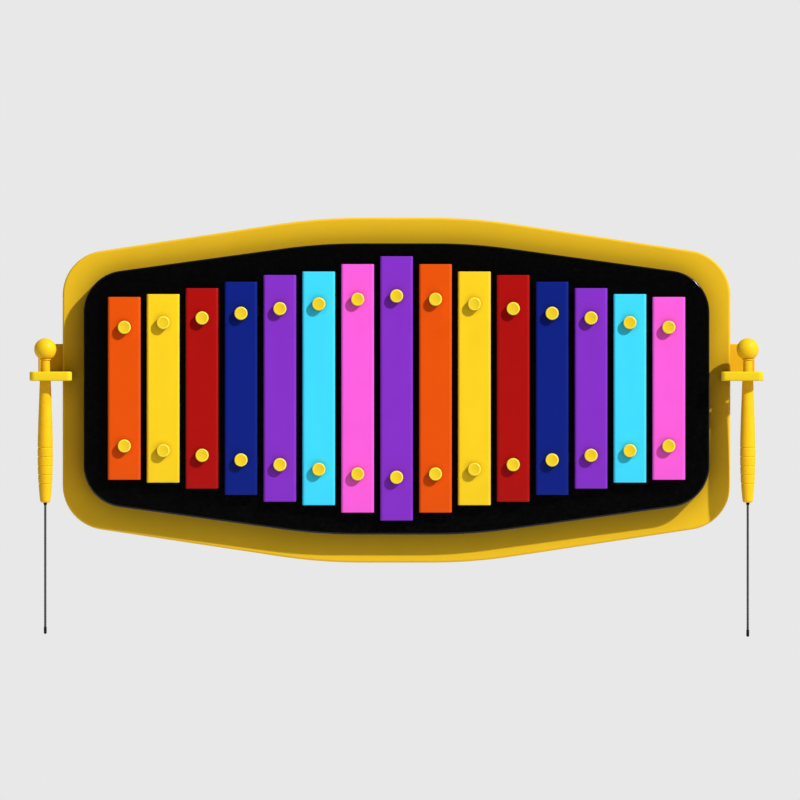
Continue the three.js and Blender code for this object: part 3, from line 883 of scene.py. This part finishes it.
def make_plate(node, side, outer, inner):
    """The bracket's plate, which passes behind the panel and is screwed to it from the back."""
    low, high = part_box(node)
    plate_outer, plate_bottom = outer - PLATE_SETBACK, low.z + WELD
    face = sided([
        (plate_outer, plate_bottom, PLATE_CORNER_R), (plate_outer, high.z, PLATE_CORNER_R),
        (inner, high.z, PLATE_CORNER_R), (inner, plate_bottom, PLATE_CORNER_R)], side)
    screws = bmesh.new()
    loops = [(rounded(face, 6), eased(0.0, PLATE_THICK, PLATE_EDGE_R, 3))]
    for x in PLATE_SCREW_X:
        loops.append(countersunk(side * x, (low.z + high.z) / 2, 0.0, PLATE_THICK))
        screw(screws, side * x, (low.z + high.z) / 2, SCREW_SUNK, SHORT_SCREW)
    bm = bmesh.new()
    slab(bm, loops, front)
    # painted shade: the plate takes its darker material, though it is one moulding with the shelf
    piece(f"{node}_plate", bm, "panel_yellow", replaces=[node], material="plate_shaded_yellow")
    piece(f"{node}_screws", screws, "panel_yellow", material="screw_steel")


def make_bracket(end):
    side = ENDS[end]
    node = f"{end}_bracket"
    low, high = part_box(node)
    outer, inner = (high.x, low.x) if side > 0 else (-low.x, -high.x)
    make_shelf(node, side, outer)
    make_plate(node, side, outer, inner)


def smooth_radius(height):
    """Radius of the handle at a height, on a smooth curve through its stations."""
    stations = HANDLE_STATIONS
    i = next((k for k, (level, _) in enumerate(stations) if level <= height), len(stations) - 1)
    i = min(max(i, 1), len(stations) - 1)
    (h0, r0), (h1, r1) = stations[i - 1], stations[i]
    before, after = stations[max(i - 2, 0)], stations[min(i + 1, len(stations) - 1)]
    slope0 = (r1 - before[1]) / (h1 - before[0])
    slope1 = (after[1] - r0) / (after[0] - h0)
    t, span = (height - h0) / (h1 - h0), h1 - h0
    return ((2 * t ** 3 - 3 * t ** 2 + 1) * r0 + (t ** 3 - 2 * t ** 2 + t) * span * slope0
            + (3 * t ** 2 - 2 * t ** 3) * r1 + (t ** 3 - t ** 2) * span * slope1)


def handle_radius(height):
    """The smooth radius with the ring grooves cut into it."""
    groove = sum(math.exp(-((height - level) / GROOVE_HALF) ** 2) for level in GROOVES)
    return smooth_radius(height) - GROOVE_DEPTH * groove


def handle_heights(top, bottom):
    """Heights down the handle: coarse on the plain lengths and fine at each groove."""
    coarse = [top + (bottom - top) * k / 60 for k in range(61)]
    clear = [h for h in coarse if all(abs(h - level) > 3 * GROOVE_HALF for level in GROOVES)]
    fine = [level + GROOVE_HALF * k / 4 for level in GROOVES for k in range(-12, 13)]
    return sorted((h for h in clear + fine if h <= top), reverse=True)


def make_ball(end, place):
    """The moulded ball, hollow where it sits on the handle's spigot."""
    low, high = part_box(f"{end}_mallet_head")
    spigot_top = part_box(f"{end}_mallet_handle")[1].z
    radius = (high.y - low.y) / 2
    centre = high.z - radius
    seat = low.z
    seat_angle = math.asin((seat - centre) / radius)
    bore_r = SPIGOT_R + SPIGOT_SIDE_GAP
    levels = 36
    ball = [(0, spigot_top + JOINT_GAP), (bore_r, spigot_top + JOINT_GAP), (bore_r, seat)]
    for k in range(levels + 1):
        a = seat_angle + (math.pi / 2 - seat_angle) * k / levels
        ball.append((0 if k == levels else radius * math.cos(a), centre + radius * math.sin(a)))
    bm = bmesh.new()
    turned(bm, ball, place, 64)
    piece(f"{end}_mallet_ball", bm, "mallet_head_yellow", f"{end}_mallet", [f"{end}_mallet_head"])


def collar(top):
    """The collar under the ball, as (radius, height) pairs, with the neck just above and below it."""
    neck_r = HANDLE_STATIONS[0][1]
    rim = [(COLLAR_R - inset, depth) for inset, depth in quarter(COLLAR_ROUND, 5)]
    bulge = [(r, top - depth) for r, depth in rim]
    bulge += [(r, top - COLLAR_DEPTH + depth) for r, depth in reversed(rim)]
    return [(neck_r, top + COLLAR_STEP), *bulge, (neck_r, top - COLLAR_DEPTH)]


def handle_end(bottom):
    """The handle's rounded lower end and the short bore that the tether comes out of."""
    end_r = smooth_radius(HANDLE_STATIONS[-1][0]) - HANDLE_END_STEP
    narrowing = HANDLE_END_R * HANDLE_END_NARROWING
    end_round = [
        (end_r - narrowing * (1 - math.cos(a)), bottom + HANDLE_END_R * (1 - math.sin(a)))
        for a in (math.pi / 2 * k / 7 for k in range(8))]
    floor = bottom + HANDLE_BORE_DEPTH
    return [*end_round, (HANDLE_BORE_R, bottom), (HANDLE_BORE_FLOOR_R, floor), (0, floor)]


def make_grip(end, place):
    """The handle: a spigot inside the ball, the collar, a neck and a grip with ring grooves."""
    node = f"{end}_mallet_handle"
    low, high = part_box(node)
    collar_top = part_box(f"{end}_mallet_head")[0].z - JOINT_GAP
    shaft = [(handle_radius(h), h) for h in handle_heights(HANDLE_STATIONS[0][0], HANDLE_STATIONS[-1][0])]
    bm = bmesh.new()
    turned(bm, [
        (0, high.z), (SPIGOT_R, high.z), (SPIGOT_R, collar_top),
        *collar(collar_top), *shaft, *handle_end(low.z)], place, 56)
    piece(f"{end}_mallet_grip", bm, "mallet_handle_yellow", f"{end}_mallet", [node])


def make_boot(end, place):
    """A rubber boot round the tether where it leaves the handle; its black is also painted shade, for the
    handle's shadow on the rope just below.
    """
    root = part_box(f"{end}_mallet_handle")[0].z + BOOT_ROOT
    bore = TETHER_DIAMETER / 2 + SLEEVE_BORE_GAP
    outside = [(radius, root - drop) for radius, drop in BOOT_STATIONS]
    bm = bmesh.new()
    turned(bm, [(bore, root), *outside, (bore, outside[-1][1]), (bore, root)], place, 24)
    bmesh.ops.remove_doubles(bm, verts=bm.verts, dist=SAME_POINT)
    piece(f"{end}_tether_boot", bm, "tether_end_black", f"{end}_mallet")


def make_mallet(end):
    place = shifted(upright, ENDS[end] * mallet_x, mallet_out)
    make_ball(end, place)
    make_grip(end, place)
    make_boot(end, place)


for mallet_end in ENDS:
    make_bracket(mallet_end)
    make_mallet(mallet_end)
